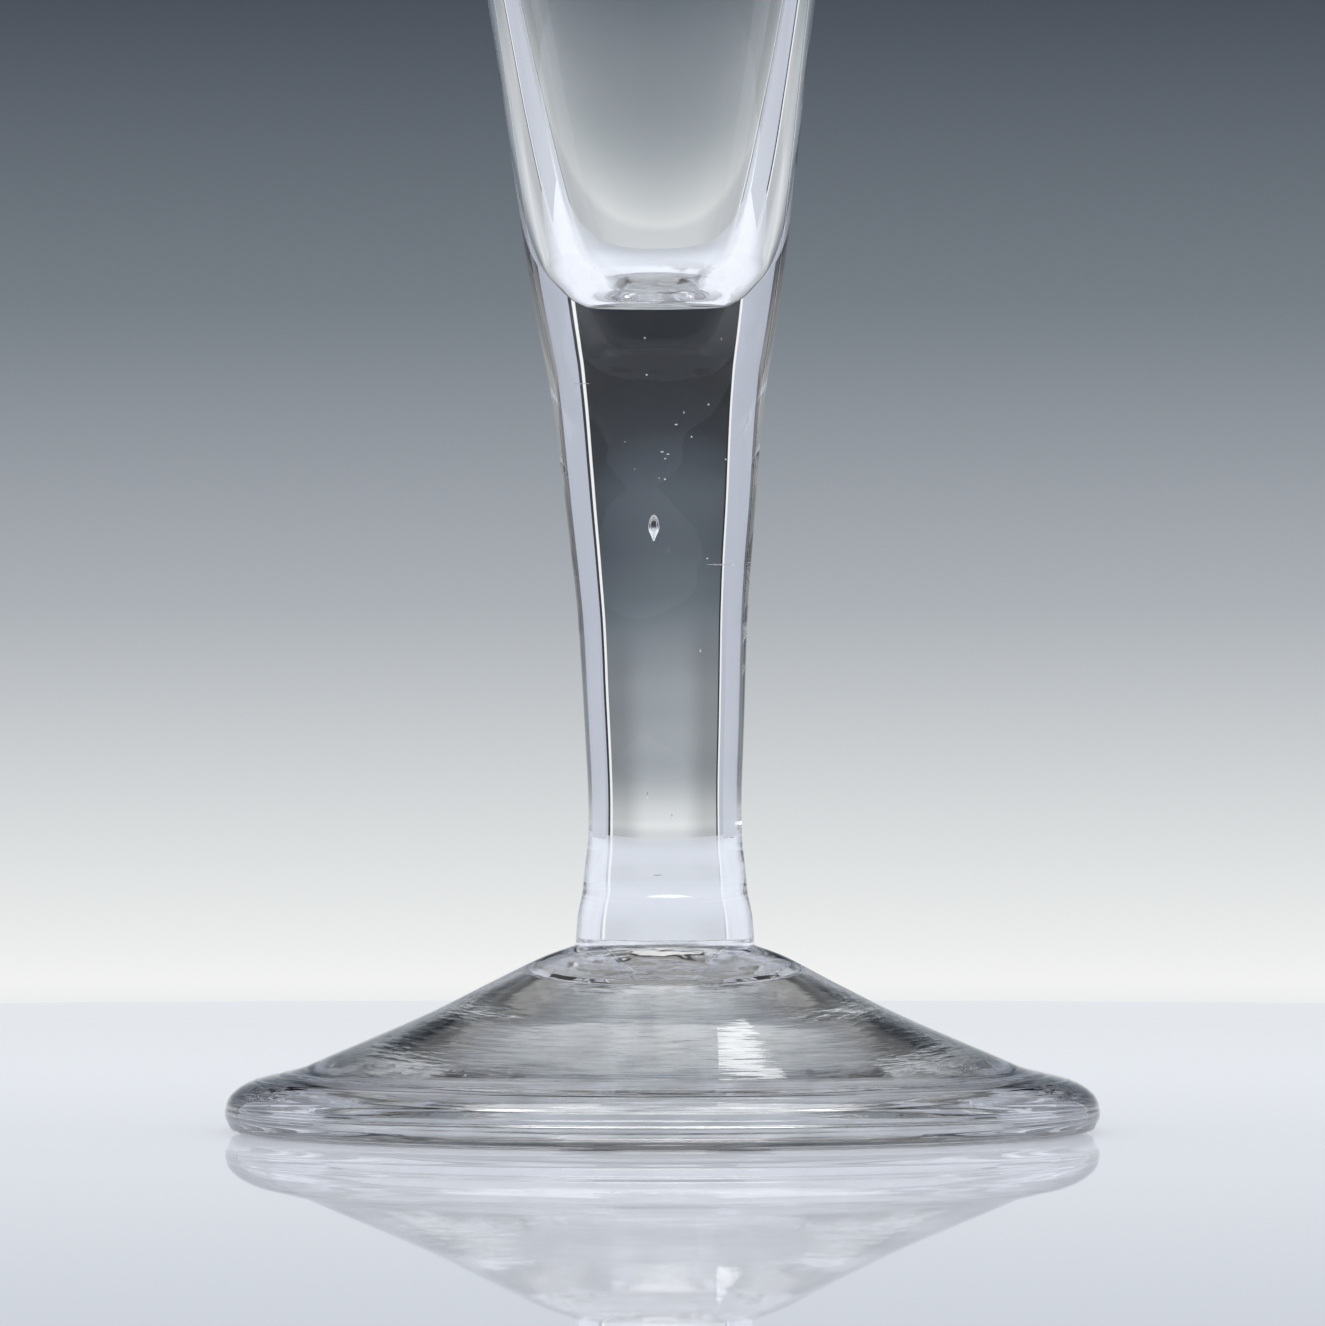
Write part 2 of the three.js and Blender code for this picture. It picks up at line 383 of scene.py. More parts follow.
class NodeKit:
    """Builds one shader tree."""

    def __init__(self, owner: bpy.types.Material | bpy.types.World) -> None:
        """Clears a tree.

        Args:
            owner: The material or world that has the tree.
        """
        owner.use_nodes = True
        self.tree = owner.node_tree
        self.tree.nodes.clear()

    def node(self, kind: str, settings: Settings = None, inputs: Inputs = None) -> bpy.types.Node:
        """Adds a node.

        Args:
            kind: The node's type.
            settings: What is set on the node before its sockets. stops are a ramp's.
            inputs: Values or links of its sockets, by name or number.

        Returns:
            The new node.
        """
        made = self.tree.nodes.new(kind)
        for name, value in (settings or {}).items():
            if name == "stops":
                self._set_stops(made.color_ramp, value)
            else:
                setattr(made, name, value)
        for key, value in (inputs or {}).items():
            target = made.inputs[key]
            source = value.socket if isinstance(value, Wire) else value
            if isinstance(source, bpy.types.NodeSocket):
                self.tree.links.new(source, target)
            else:
                target.default_value = source
        return made

    @staticmethod
    def _set_stops(ramp: bpy.types.ColorRamp, stops: Sequence[tuple[float, Colour]]) -> None:
        """Gives a ramp its stops.

        Args:
            ramp: The ramp.
            stops: Each stop's place, from 0 to 1, and its colour.
        """
        while len(ramp.elements) < len(stops):
            ramp.elements.new(0.5)
        for element, (place, colour) in zip(ramp.elements, stops):
            element.position = place
            element.color = colour

    def number(
        self, kind: str, settings: Settings = None, inputs: Inputs = None, output: Any = 0
    ) -> Wire:
        """A node's output as a number to calculate with."""
        return Wire(self, self.node(kind, settings, inputs).outputs[output])

    def mixed(self, share: Any, first: Any, second: Any) -> bpy.types.NodeSocket:
        """Two colours mixed by share."""
        settings = {"data_type": "RGBA", "blend_type": "MIX"}
        return self.node("ShaderNodeMix", settings, {0: share, 6: first, 7: second}).outputs[2]

    def graded(self, value: Wire, tones: Tones) -> bpy.types.NodeSocket:
        """A colour that changes with a number.

        Args:
            value: The number.
            tones: Its values from low to high, each with its colour in sRGB.

        Returns:
            The colour.
        """
        low, high = tones[0][0], tones[-1][0]
        stops = [((place - low) / (high - low), linear(*colour)) for place, colour in tones]
        share = (value - low) * (1 / (high - low))
        return self.node("ShaderNodeValToRGB", {"stops": stops}, {0: share}).outputs[0]

    def vector(self, operation: str, inputs: dict[Any, Any]) -> bpy.types.Node:
        """A Vector Math node."""
        return self.node("ShaderNodeVectorMath", {"operation": operation}, inputs)

    def coordinates(self) -> bpy.types.NodeSocket:
        """Object coordinates in metres."""
        return self.node("ShaderNodeTexCoord").outputs["Object"]

    def flat(self) -> bpy.types.NodeSocket:
        """Object coordinates in metres, without their height."""
        return self.vector("MULTIPLY", {0: self.coordinates(), 1: (1, 1, 0)}).outputs[0]

    def radius(self) -> Wire:
        """Distance from the upright axis in metres."""
        return Wire(self, self.vector("LENGTH", {0: self.flat()}).outputs["Value"])

    def height(self) -> Wire:
        """Height above the table in metres."""
        return self.number("ShaderNodeSeparateXYZ", None, {0: self.coordinates()}, output="Z")

    def placed(self, scale: tuple[float, float, float]) -> bpy.types.NodeSocket:
        """Object coordinates, scaled along X, Y and Z."""
        inputs = {"Vector": self.coordinates(), "Scale": scale}
        return self.node("ShaderNodeMapping", None, inputs).outputs[0]

    def even(self, scale: float) -> bpy.types.NodeSocket:
        """Object coordinates, scaled alike in every direction."""
        return self.placed((scale, scale, scale))

    def ringed(self, around: float, across: float) -> bpy.types.NodeSocket:
        """A place for noise that runs in rings about the axis, as tool marks on turned glass do.

        Args:
            around: Repeats for each radian.
            across: Repeats for each metre out and down.

        Returns:
            The place, without a seam anywhere on the turn.
        """
        way = self.vector("NORMALIZE", {0: self.flat()}).outputs[0]
        turned = self.vector("SCALE", {0: way, "Scale": around}).outputs[0]
        down = (self.radius() - self.height()) * across
        lift = self.node("ShaderNodeCombineXYZ", None, {2: down}).outputs[0]
        return self.vector("ADD", {0: turned, 1: lift}).outputs[0]

    def noise(self, place: bpy.types.NodeSocket, detail: float) -> Wire:
        """Noise from 0 to 1 at a place whose unit is the noise's own."""
        inputs = {"Vector": place, "Scale": 1.0, "Detail": detail}
        return self.number("ShaderNodeTexNoise", {"noise_dimensions": "3D"}, inputs, output="Fac")

    def bump(self, height: Wire, distance: float) -> bpy.types.NodeSocket:
        """A normal raised by height times distance, in metres."""
        inputs = {"Strength": 1.0, "Distance": distance, "Height": height}
        return self.node("ShaderNodeBump", None, inputs).outputs[0]

    def glass(
        self, tint: Any, roughness: Any, normal: bpy.types.NodeSocket
    ) -> bpy.types.NodeSocket:
        """Lead glass.

        Args:
            tint: What each face lets through.
            roughness: Its roughness.
            normal: The normal of its relief.

        Returns:
            The shader.
        """
        return self.node("ShaderNodeBsdfPrincipled", None, {
            "Base Color": tint,
            "Roughness": roughness,
            "IOR": LEAD_GLASS_IOR,
            "Transmission Weight": 1.0,
            "Normal": normal,
        }).outputs[0]

    def glow(self, colour: Any) -> bpy.types.NodeSocket:
        """Plain light of a colour."""
        return self.node("ShaderNodeEmission", None, {"Color": colour, "Strength": 1.0}).outputs[0]

    def blended(
        self, share: Wire, first: bpy.types.NodeSocket, second: bpy.types.NodeSocket
    ) -> bpy.types.NodeSocket:
        """Two shaders blended by share."""
        return self.node("ShaderNodeMixShader", None, {0: share, 1: first, 2: second}).outputs[0]

    def finish(self, surface: bpy.types.NodeSocket) -> None:
        """Sends a shader to the material's output."""
        self.node("ShaderNodeOutputMaterial", None, {"Surface": surface})


@dataclass(frozen=True)
class ClearGlass:
    """Fire-polished lead glass with faint cords and tool lines.

    Attributes:
        name: The material's name.
        cord_scale: How often cords repeat along X, Y and Z, for each metre.
        cord_depth: The depth of their relief in metres.
        ring_scale: How often tool rings repeat for each radian, and for each metre outwards.
        ring_depth: The depth of their relief in metres.
        streaks: How strong the grey streaks between the tool rings are.
        contact_shade: How strong the painted shade next to the table is, where the glass stands on
            it.
        roughness: The smoothest and the roughest of the polish.
        tint: What the clearest glass lets through at each face.
        cloudy_tint: What its cloudy places let through.
        streak_tint: What its streaks let through.
        contact_shade_tint: What the glass lets through in that painted shade.
        cloud_scale: How often the cloudy places repeat for each metre.
        cloud_share: How strong they are.
        cloud_span: The noise at which their tint begins, and is full.
        haze_span: The noise at which their roughness begins, and is full.
        streak_rates: How often streaks repeat, as shares of ring_scale.
        streak_span: The noise at which they begin, and are full.
        contact_shade_heights: Heights in metres at which the painted shade starts to end, and ends.
        contact_shade_waver: How unevenly it ends, in metres.
    """

    name: str
    cord_scale: tuple[float, float, float] = (60.0, 60.0, 25.0)
    cord_depth: float = 0.00002
    ring_scale: tuple[float, float] = (4.0, 1100.0)
    ring_depth: float = 0.0
    streaks: float = 0.0
    contact_shade: float = 0.0
    roughness: tuple[float, float] = (0.0, 0.012)
    tint: Colour = CLEAR_TINT
    cloudy_tint: Colour = (0.97, 0.978, 0.975, 1.0)
    streak_tint: Colour = (0.5, 0.51, 0.53, 1.0)
    contact_shade_tint: Colour = (0.3, 0.29, 0.27, 1.0)
    cloud_scale: float = 90.0
    cloud_share: float = 0.5
    cloud_span: tuple[float, float] = (0.35, 0.75)
    haze_span: tuple[float, float] = (0.5, 0.8)
    streak_rates: tuple[float, float] = (1.5, 0.8)
    streak_span: tuple[float, float] = (0.45, 0.7)
    contact_shade_heights: tuple[float, float] = (0.0008, 0.0013)
    contact_shade_waver: float = 0.0006

    def make(self) -> bpy.types.Material:
        """Builds the material.

        Returns:
            The material.
        """
        material = bpy.data.materials.new(self.name)
        kit = NodeKit(material)
        cords = kit.noise(kit.placed(self.cord_scale), detail=1.5)
        rings = kit.noise(kit.ringed(*self.ring_scale), detail=2.5)
        relief = cords * self.cord_depth + rings * self.ring_depth
        cloud = kit.noise(kit.even(self.cloud_scale), detail=3.0)
        low, high = self.roughness
        haze = cloud.step(*self.haze_span) * (high - low) + low
        cloudy = cloud.step(*self.cloud_span) * self.cloud_share
        shade = kit.mixed(cloudy, self.tint, self.cloudy_tint)
        around, across = (a * b for a, b in zip(self.ring_scale, self.streak_rates))
        grey = kit.noise(kit.ringed(around, across), detail=3.0)
        streaked = grey.step(*self.streak_span) * self.streaks
        shade = kit.mixed(streaked, shade, self.streak_tint)
        # Painted shade: the glass is darker next to the table, where it stands on it.
        unshaded = (kit.height() + (cloud - 0.5) * self.contact_shade_waver).step(*self.contact_shade_heights)
        shade = kit.mixed((1 - unshaded) * self.contact_shade, shade, self.contact_shade_tint)
        kit.finish(kit.glass(shade, haze, kit.bump(relief, 1.0)))
        return material


@dataclass(frozen=True)
class WeldedFace:
    """The face where two pieces are one glass, which light passes unbent."""

    name: str = "welded_face"

    def make(self) -> bpy.types.Material:
        """Builds the material.

        Returns:
            The material.
        """
        material = bpy.data.materials.new(self.name)
        kit = NodeKit(material)
        kit.finish(kit.node("ShaderNodeBsdfTransparent").outputs[0])
        return material


@dataclass(frozen=True)
class FouledGlass:
    """The cavity's floor, with the brown residue of old drink on it.

    Attributes:
        name: The material's name.
        polish: The clear glass's roughness.
        pit_scale: How often its pits repeat for each metre.
        pit_depth: Their depth in metres.
        residue: The residue's colour.
        residue_roughness: Its roughness.
        residue_ior: How strongly it shines.
        blotch_scale: How often its blotches repeat for each metre.
        blotch_span: The noise at which a blotch begins, and is full.
        reach: Radii in metres from which the blotches fade, and at which they end.
        cover: How well they cover the glass.
    """

    name: str = "fouled_glass"
    polish: float = 0.02
    pit_scale: float = 700.0
    pit_depth: float = 0.00004
    residue: Colour = linear(104, 84, 60)
    residue_roughness: float = 0.6
    residue_ior: float = 1.4
    blotch_scale: float = 420.0
    blotch_span: tuple[float, float] = (0.47, 0.62)
    reach: tuple[float, float] = (0.0025, 0.0055)
    cover: float = 0.85

    def make(self) -> bpy.types.Material:
        """Builds the material.

        Returns:
            The material.
        """
        material = bpy.data.materials.new(self.name)
        kit = NodeKit(material)
        pits = kit.bump(kit.noise(kit.even(self.pit_scale), detail=3.0), self.pit_depth)
        film = kit.node("ShaderNodeBsdfPrincipled", None, {
            "Base Color": self.residue,
            "Roughness": self.residue_roughness,
            "IOR": self.residue_ior,
        })
        blotch = kit.noise(kit.even(self.blotch_scale), detail=5.0).step(*self.blotch_span)
        near = 1 - kit.radius().step(*self.reach)
        glass = kit.glass(CLEAR_TINT, self.polish, pits)
        kit.finish(kit.blended(blotch * near * self.cover, glass, film.outputs[0]))
        return material


@dataclass(frozen=True)
class BrokenGlass:
    """The rough glass of the pontil mark.

    Attributes:
        name: The material's name.
        chip_scale: How often its chips repeat for each metre.
        grain_scale: How often its grain repeats for each metre.
        grain_height: The grain's height beside the chips'.
        relief: The chips' height in metres.
        clear_tint: What its clear places let through.
        milky_tint: What its milky places let through.
        roughness: The roughness of its roughest places.
    """

    name: str = "broken_glass"
    chip_scale: float = 420.0
    grain_scale: float = 1500.0
    grain_height: float = 0.1
    relief: float = 0.00001
    clear_tint: Colour = (0.96, 0.965, 0.96, 1.0)
    milky_tint: Colour = (0.9, 0.9, 0.89, 1.0)
    roughness: float = 0.08

    def make(self) -> bpy.types.Material:
        """Builds the material.

        Returns:
            The material.
        """
        material = bpy.data.materials.new(self.name)
        kit = NodeKit(material)
        chips = kit.number(
            "ShaderNodeTexVoronoi", {"feature": "DISTANCE_TO_EDGE"},
            {"Vector": kit.even(self.chip_scale), "Scale": 1.0}, output="Distance",
        )
        grain = kit.noise(kit.even(self.grain_scale), detail=3.0)
        tint = kit.mixed(grain, self.clear_tint, self.milky_tint)
        normal = kit.bump(chips + grain * self.grain_height, self.relief)
        kit.finish(kit.glass(tint, grain * self.roughness, normal))
        return material


@dataclass(frozen=True)
class Finishes:
    """The materials that the pieces share."""

    bowl: bpy.types.Material
    stem: bpy.types.Material
    foot: bpy.types.Material
    fold: bpy.types.Material
    weld: bpy.types.Material
    foul: bpy.types.Material
    broken: bpy.types.Material

    @classmethod
    def make(cls) -> "Finishes":
        """Builds every material.

        Returns:
            The materials.
        """
        even = (90.0, 90.0, 90.0)
        upright = (90.0, 90.0, 160.0)
        return cls(
            bowl=ClearGlass("bowl_glass").make(),
            stem=ClearGlass("stem_glass", upright).make(),
            foot=ClearGlass("foot_glass", even, ring_depth=0.000012, streaks=0.6).make(),
            # The fold gets painted shade next to the table, where it stands.
            fold=ClearGlass("fold_glass", even, ring_depth=0.000007, streaks=0.3, contact_shade=0.8).make(),
            weld=WeldedFace().make(),
            foul=FouledGlass().make(),
            broken=BrokenGlass().make(),
        )


def spun(outline: Outline, steps: int, closed: bool = False) -> bmesh.types.BMesh:
    """The body that an outline in millimetres sweeps in one turn about the upright axis.

    Args:
        outline: (radius, height) points.
        steps: How many steps the turn has.
        closed: True if the outline's end joins its start.

    Returns:
        A closed body, in millimetres, with its faces outwards.
    """
    bm = bmesh.new()
    verts = [bm.verts.new((radius, 0, height)) for radius, height in outline]
    edges = [bm.edges.new(pair) for pair in zip(verts, verts[1:])]
    if closed:
        edges.append(bm.edges.new((verts[-1], verts[0])))
    bmesh.ops.spin(
        bm, geom=verts + edges, cent=(0, 0, 0), axis=(0, 0, 1), dvec=(0, 0, 0),
        angle=math.tau, steps=steps, use_merge=True, use_duplicate=False,
    )
    bmesh.ops.remove_doubles(bm, verts=bm.verts, dist=MERGED)
    bmesh.ops.recalc_face_normals(bm, faces=bm.faces)
    return bm


def move_points(bm: bmesh.types.BMesh, change: Callable[[Vector], Vector]) -> None:
    """Moves every point of a mesh by change."""
    for vert in bm.verts:
        vert.co = change(vert.co.copy())


def marked(
    bm: bmesh.types.BMesh, surface: Surface, test: Callable[[Vector, Vector], bool]
) -> None:
    """Gives some faces their kind of surface.

    Args:
        bm: The mesh.
        surface: The kind of surface.
        test: Says from a face's middle and normal whether the face is of that kind.
    """
    for face in bm.faces:
        if test(face.calc_center_median(), face.normal):
            face.material_index = surface.value


def add_void(
    bm: bmesh.types.BMesh, place: Vector, size: Vector, turn: Matrix, fineness: int
) -> list[bmesh.types.BMVert]:
    """Adds a sealed bubble to a body: a small ball whose faces point into the air inside.

    Args:
        bm: The body, in millimetres.
        place: The bubble's middle.
        size: Its half widths along its own axes.
        turn: Its rotation.
        fineness: Subdivisions of the ball.

    Returns:
        The bubble's points.
    """
    shape = Matrix.Translation(place) @ turn.to_4x4() @ Matrix.Diagonal((*size, 1.0))
    made = bmesh.ops.create_icosphere(bm, subdivisions=fineness, radius=1.0, matrix=shape)
    faces = {face for vert in made["verts"] for face in vert.link_faces}
    bmesh.ops.reverse_faces(bm, faces=list(faces))
    return made["verts"]


def piece(
    name: str, bm: bmesh.types.BMesh, node: str, materials: Iterable[bpy.types.Material]
) -> bpy.types.Object:
    """Makes a finished object of a mesh in millimetres, and tells the frame about it.

    Args:
        name: The piece's name.
        bm: Its mesh, which is used up.
        node: The solid that it stands for.
        materials: Its materials, in the order of Surface.

    Returns:
        The object, riding on the body.
    """
    bmesh.ops.scale(bm, vec=(MM, MM, MM), verts=bm.verts)
    mesh = bpy.data.meshes.new(name)
    bm.to_mesh(mesh)
    bm.free()
    for material in materials:
        mesh.materials.append(material)
    mesh.shade_smooth()
    mesh.set_sharp_from_angle(angle=math.radians(SHARP_DEGREES))
    made = bpy.data.objects.new(name, mesh)
    bpy.context.scene.collection.objects.link(made)
    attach(made, BODY)
    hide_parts(node)
    LOG.info("%s: %d faces", name, len(mesh.polygons))
    return made


@dataclass(frozen=True)
class DrawnWall:
    """The one smooth outside of the stem and the bowl, in millimetres.

    Attributes:
        levels: The heights at which pieces meet.
        stem_knots: (radius, rise above the foot) of the stem.
        stem_top_radius: Outer radius where the stem meets the bowl.
        bowl_knots: (radius, rise above the stem) of the bowl.
        lip_radius: Outer radius at the lip.
        lip_wall: The wall's thickness at the lip.
        spacing: The longest step along the outline.
    """

    levels: Levels
    stem_knots: Knots = (
        (7.8, 0.0), (7.6, 2.6), (7.2, 4.6), (7.0, 6.7), (6.75, 8.7), (6.67, 11.6), (6.7, 13.9),
        (6.85, 17.3), (7.0, 20.8), (7.17, 24.8), (7.4, 28.8), (7.75, 32.8), (8.2, 37.4),
        (8.6, 41.8), (9.03, 45.8), (9.62, 49.8),
    )
    stem_top_radius: float = 10.35
    bowl_knots: Knots = ((11.3, 6.0), (14.2, 28.0), (20.5, 70.0))
    lip_radius: float = 28.0
    lip_wall: float = 1.3
    spacing: float = 0.8

    def outlines(self) -> tuple[Outline, Outline]:
        """Draws the outside and cuts it where the stem meets the bowl.

        Returns:
            The stem's stretch and the bowl's stretch.
        """
        stem = [(r, self.levels.foot_top + z) for r, z in self.stem_knots]
        cut = (self.stem_top_radius, self.levels.stem_top)
        bowl = [(r, self.levels.stem_top + z) for r, z in self.bowl_knots]
        end = (self.lip_radius, self.levels.lip - self.lip_wall / 2)
        return split(smooth_through([*stem, cut, *bowl, end], self.spacing), self.levels.stem_top)


@dataclass
class Bowl:
    """The flute: thick at the bottom, thin at the lip, with a flat weld below.

    Attributes:
        levels: The heights at which pieces meet.
        stance: How the glass stands.
        wall: The outside, in millimetres as every size here.
        cavity_knots: (radius, rise above the stem) of the cavity, from the lip downwards.
        floor_radius: Radius of the cavity's flat floor.
        floor_rise: The floor's height above the stem.
        corner_spacing: The longest step on the floor.
        foul_heights: Heights above the floor between which the glass may be fouled.
        foul_radius: Radius within which it may be.
        foul_slope: How upright the normal of a fouled face is at least.
        spin_steps: Steps of the turn.
        lip_steps: Steps of the lip's half round.
    """

    levels: Levels
    stance: Stance
    wall: DrawnWall
    cavity_knots: Knots = (
        (18.8, 70.0), (14.1, 42.0), (11.63, 28.0), (9.86, 19.0), (8.92, 14.5), (8.23, 11.5),
        (7.59, 9.0), (7.06, 7.2), (6.4, 5.4), (5.4, 3.8), (4.7, 2.8),
    )
    floor_radius: float = 3.9
    floor_rise: float = 2.2
    corner_spacing: float = 0.3
    foul_heights: tuple[float, float] = (-0.2, 1.6)
    foul_radius: float = 7.0
    foul_slope: float = 0.1
    spin_steps: int = 192
    lip_steps: int = 10

    def cavity(self) -> Outline:
        """Draws the inside.

        Returns:
            The outline from the lip down to the middle of the flat floor.
        """
        floor = self.levels.stem_top + self.floor_rise
        knots = [
            (self.wall.lip_radius - self.wall.lip_wall, self.levels.lip - self.wall.lip_wall / 2),
            *((r, self.levels.stem_top + z) for r, z in self.cavity_knots),
            (self.floor_radius, floor),
        ]
        return joined(
            smooth_through(knots, self.wall.spacing),
            straight(knots[-1], (0.0, floor), self.corner_spacing),
        )

    def lip(self) -> Outline:
        """Draws the half-round edge between outside and inside.

        Returns:
            Its points, without the first and the last.
        """
        middle = self.wall.lip_radius - self.wall.lip_wall / 2
        base = self.levels.lip - self.wall.lip_wall / 2
        half = self.wall.lip_wall / 2
        turns = [math.pi * step / self.lip_steps for step in range(1, self.lip_steps)]
        return [(middle + math.cos(t) * half, base + math.sin(t) * half) for t in turns]

    def mesh(self) -> bmesh.types.BMesh:
        """Builds the bowl's mesh.

        Returns:
            The mesh, in millimetres.
        """
        outside = self.wall.outlines()[1]
        top = self.levels.stem_top
        base = straight((0.0, top), outside[0], WELD_SPACING)
        bm = spun(joined(base, outside, self.lip(), self.cavity()), self.spin_steps)
        marked(bm, Surface.WELD, lambda middle, normal: (
            middle.z < top + ON_SEAM and normal.z < -LEVEL
        ))
        low, high = (top + self.floor_rise + rise for rise in self.foul_heights)
        marked(bm, Surface.FOUL, lambda middle, normal: (
            low < middle.z < high
            and normal.z > self.foul_slope
            and middle.xy.length < self.foul_radius
        ))
        move_points(bm, self.stance.drawn)
        return bm

    def build(self, finishes: Finishes) -> bpy.types.Object:
        """Makes the piece."""
        materials = (finishes.bowl, finishes.weld, finishes.foul)
        return piece("bowl_flute", self.mesh(), "bowl", materials)


@dataclass(frozen=True)
class Seed:
    """A tiny bubble caught in the middle of the stem, in millimetres.

    Attributes:
        across: Where it is seen from the front, to the right of the stem's axis.
        height: Its height above the table.
        half_width: Its half width.
        half_height: Its half height.
    """

    across: float
    height: float
    half_width: float = 0.06
    half_height: float = 0.08


@dataclass(frozen=True)
class Scratch:
    """A fine level mark just under the front of the stem, in millimetres.

    Attributes:
        across: Its middle, to the right of the stem's axis.
        height: Its height above the table.
        half_length: Its half length.
        thickness: Its half thickness.
    """

    across: float
    height: float
    half_length: float
    thickness: float = 0.035


SEEDS = (
    Seed(-1.1, 69.5), Seed(5.7, 69.4, 0.04, 0.12), Seed(-1.0, 66.2), Seed(4.4, 63.5),
    Seed(2.15, 62.8, 0.04, 0.1), Seed(1.45, 61.7, 0.09, 0.07), Seed(2.8, 60.6),
    Seed(0.2, 59.3, 0.1, 0.05), Seed(0.7, 59.1, 0.09, 0.05), Seed(0.45, 58.7, 0.07, 0.05),
    Seed(6.0, 58.6), Seed(0.4, 56.9), Seed(-0.1, 57.0, 0.04, 0.04), Seed(4.1, 50.0),
    Seed(3.3, 42.0, 0.04, 0.25), Seed(-1.5, 29.3, 0.03, 0.3), Seed(0.6, 27.4, 0.03, 0.22),
    Seed(-3.0, 60.2, 0.04, 0.04), Seed(-2.2, 57.8, 0.04, 0.04),
)
SCRATCHES = (
    Scratch(-6.5, 64.8, 1.0), Scratch(5.0, 49.2, 1.7), Scratch(5.6, 25.6, 0.6),
    Scratch(-0.6, 22.4, 0.4, 0.05),
)


@dataclass
class Stem:
    """The solid stem, with the tear and the seeds that are caught in it.

    Attributes:
        levels: The heights at which pieces meet.
        stance: How the glass stands.
        wall: The outside, in millimetres as every size here.
        tear_place: The tear's middle.
        tear_size: Its half widths and half height.
        tear_taper: How much narrower its lower end is than its middle.
        tear_span: Where the taper starts and ends, in half heights below the middle.
        scratch_depth: How far the scratches lie under the wall.
        tear_fineness: Subdivisions of the tear.
        seed_fineness: Subdivisions of a seed or a scratch.
        spin_steps: Steps of the turn.
    """

    levels: Levels
    stance: Stance
    wall: DrawnWall
    tear_place: tuple[float, float, float] = (-0.6, -1.5, 52.6)
    tear_size: tuple[float, float, float] = (0.36, 0.36, 1.15)
    tear_taper: float = 0.62
    tear_span: tuple[float, float] = (-0.1, 1.0)
    scratch_depth: float = 0.25
    tear_fineness: int = 4
    seed_fineness: int = 2
    spin_steps: int = 192

    def mesh(self) -> bmesh.types.BMesh:
        """Builds the stem's mesh.

        Returns:
            The mesh, in millimetres.
        """
        low, high = self.levels.foot_top, self.levels.stem_top
        outside = self.wall.outlines()[0]
        base = straight((0.0, low), outside[0], WELD_SPACING)
        cap = straight(outside[-1], (0.0, high), WELD_SPACING)
        bm = spun(joined(base, outside, cap), self.spin_steps)
        marked(bm, Surface.WELD, lambda middle, normal: abs(normal.z) > LEVEL and (
            middle.z < low + ON_SEAM or middle.z > high - ON_SEAM
        ))
        move_points(bm, self.stance.drawn)
        self.add_tear(bm)
        self.add_seeds(bm)
        self.add_scratches(bm)
        return bm

    def add_tear(self, bm: bmesh.types.BMesh) -> None:
        """Adds the tear: a bubble drawn to a point at its lower end.

        Args:
            bm: The stem's mesh, in millimetres.
        """
        middle = Vector(self.tear_place)
        size = Vector(self.tear_size)
        for vert in add_void(bm, middle, size, Matrix.Identity(3), self.tear_fineness):
            along = (vert.co.z - middle.z) / self.tear_size[2]
            slim = 1 - self.tear_taper * fade(-along, *self.tear_span)
            vert.co.x = middle.x + (vert.co.x - middle.x) * slim
            vert.co.y = middle.y + (vert.co.y - middle.y) * slim

    def add_seeds(self, bm: bmesh.types.BMesh) -> None:
        """Adds the tiny bubbles, which the round stem shows further from its axis than they are.

        Args:
            bm: The stem's mesh, in millimetres.
        """
        for seed in SEEDS:
            x = self.stance.shift(seed.height) + seed.across / LEAD_GLASS_IOR
            place = Vector((x, 0.0, seed.height))
            size = Vector((seed.half_width, seed.half_width, seed.half_height))
            add_void(bm, place, size, Matrix.Identity(3), self.seed_fineness)

    def add_scratches(self, bm: bmesh.types.BMesh) -> None:
        """Adds the fine marks just under the front of the wall.

        Args:
            bm: The stem's mesh, in millimetres.
        """
        outside = self.wall.outlines()[0]
        for scratch in SCRATCHES:
            nearest = min(outside, key=lambda point: abs(point[1] - scratch.height))
            radius = nearest[0] - self.scratch_depth
            turn = math.asin(scratch.across / radius)
            x = self.stance.shift(scratch.height) + scratch.across
            place = Vector((x, -math.cos(turn) * radius, scratch.height))
            size = Vector((scratch.half_length, scratch.thickness, scratch.thickness))
            add_void(bm, place, size, Matrix.Rotation(turn, 3, "Z"), self.seed_fineness)

    def build(self, finishes: Finishes) -> bpy.types.Object:
        """Makes the piece."""
        materials = (finishes.stem, finishes.weld)
        return piece("drawn_stem", self.mesh(), "stem", materials)


@dataclass(frozen=True)
class Groove:
    """A fine line that a tool or the fold has left round the rim, in millimetres.

    Attributes:
        along: Its place, along the rim's outline from the table.
        depth: Its depth, below 0 for a ridge.
        width: Its half width.
    """

    along: float
    depth: float
    width: float = 0.2

    def push(self, along: float) -> float:
        """How far the wall is pressed in at a place."""
        return self.depth * math.exp(-((along - self.along) / self.width) ** 2)


GROOVES = (
    Groove(1.2, -0.05), Groove(2.2, -0.03, 0.3), Groove(3.1, 0.06, 0.15), Groove(4.6, 0.03, 0.3),
    Groove(6.8, -0.05), Groove(8.4, -0.03, 0.3), Groove(9.8, 0.05, 0.3),
)


def pressed(points: Outline, grooves: Sequence[Groove]) -> Outline:
    """Presses grooves into a rising outline from its right, and keeps its ends.

    Args:
        points: The outline.
        grooves: What is pressed into it.

    Returns:
        The outline with its points moved.
    """
    found = [points[0]]
    along = 0.0
    for before, here, after in zip(points, points[1:], points[2:]):
        along += math.dist(before, here)
        way = (Vector(after) - Vector(before)).normalized()
        depth = sum(groove.push(along) for groove in grooves)
        found.append((here[0] - way.y * depth, here[1] + way.x * depth))
    return [*found, points[-1]]


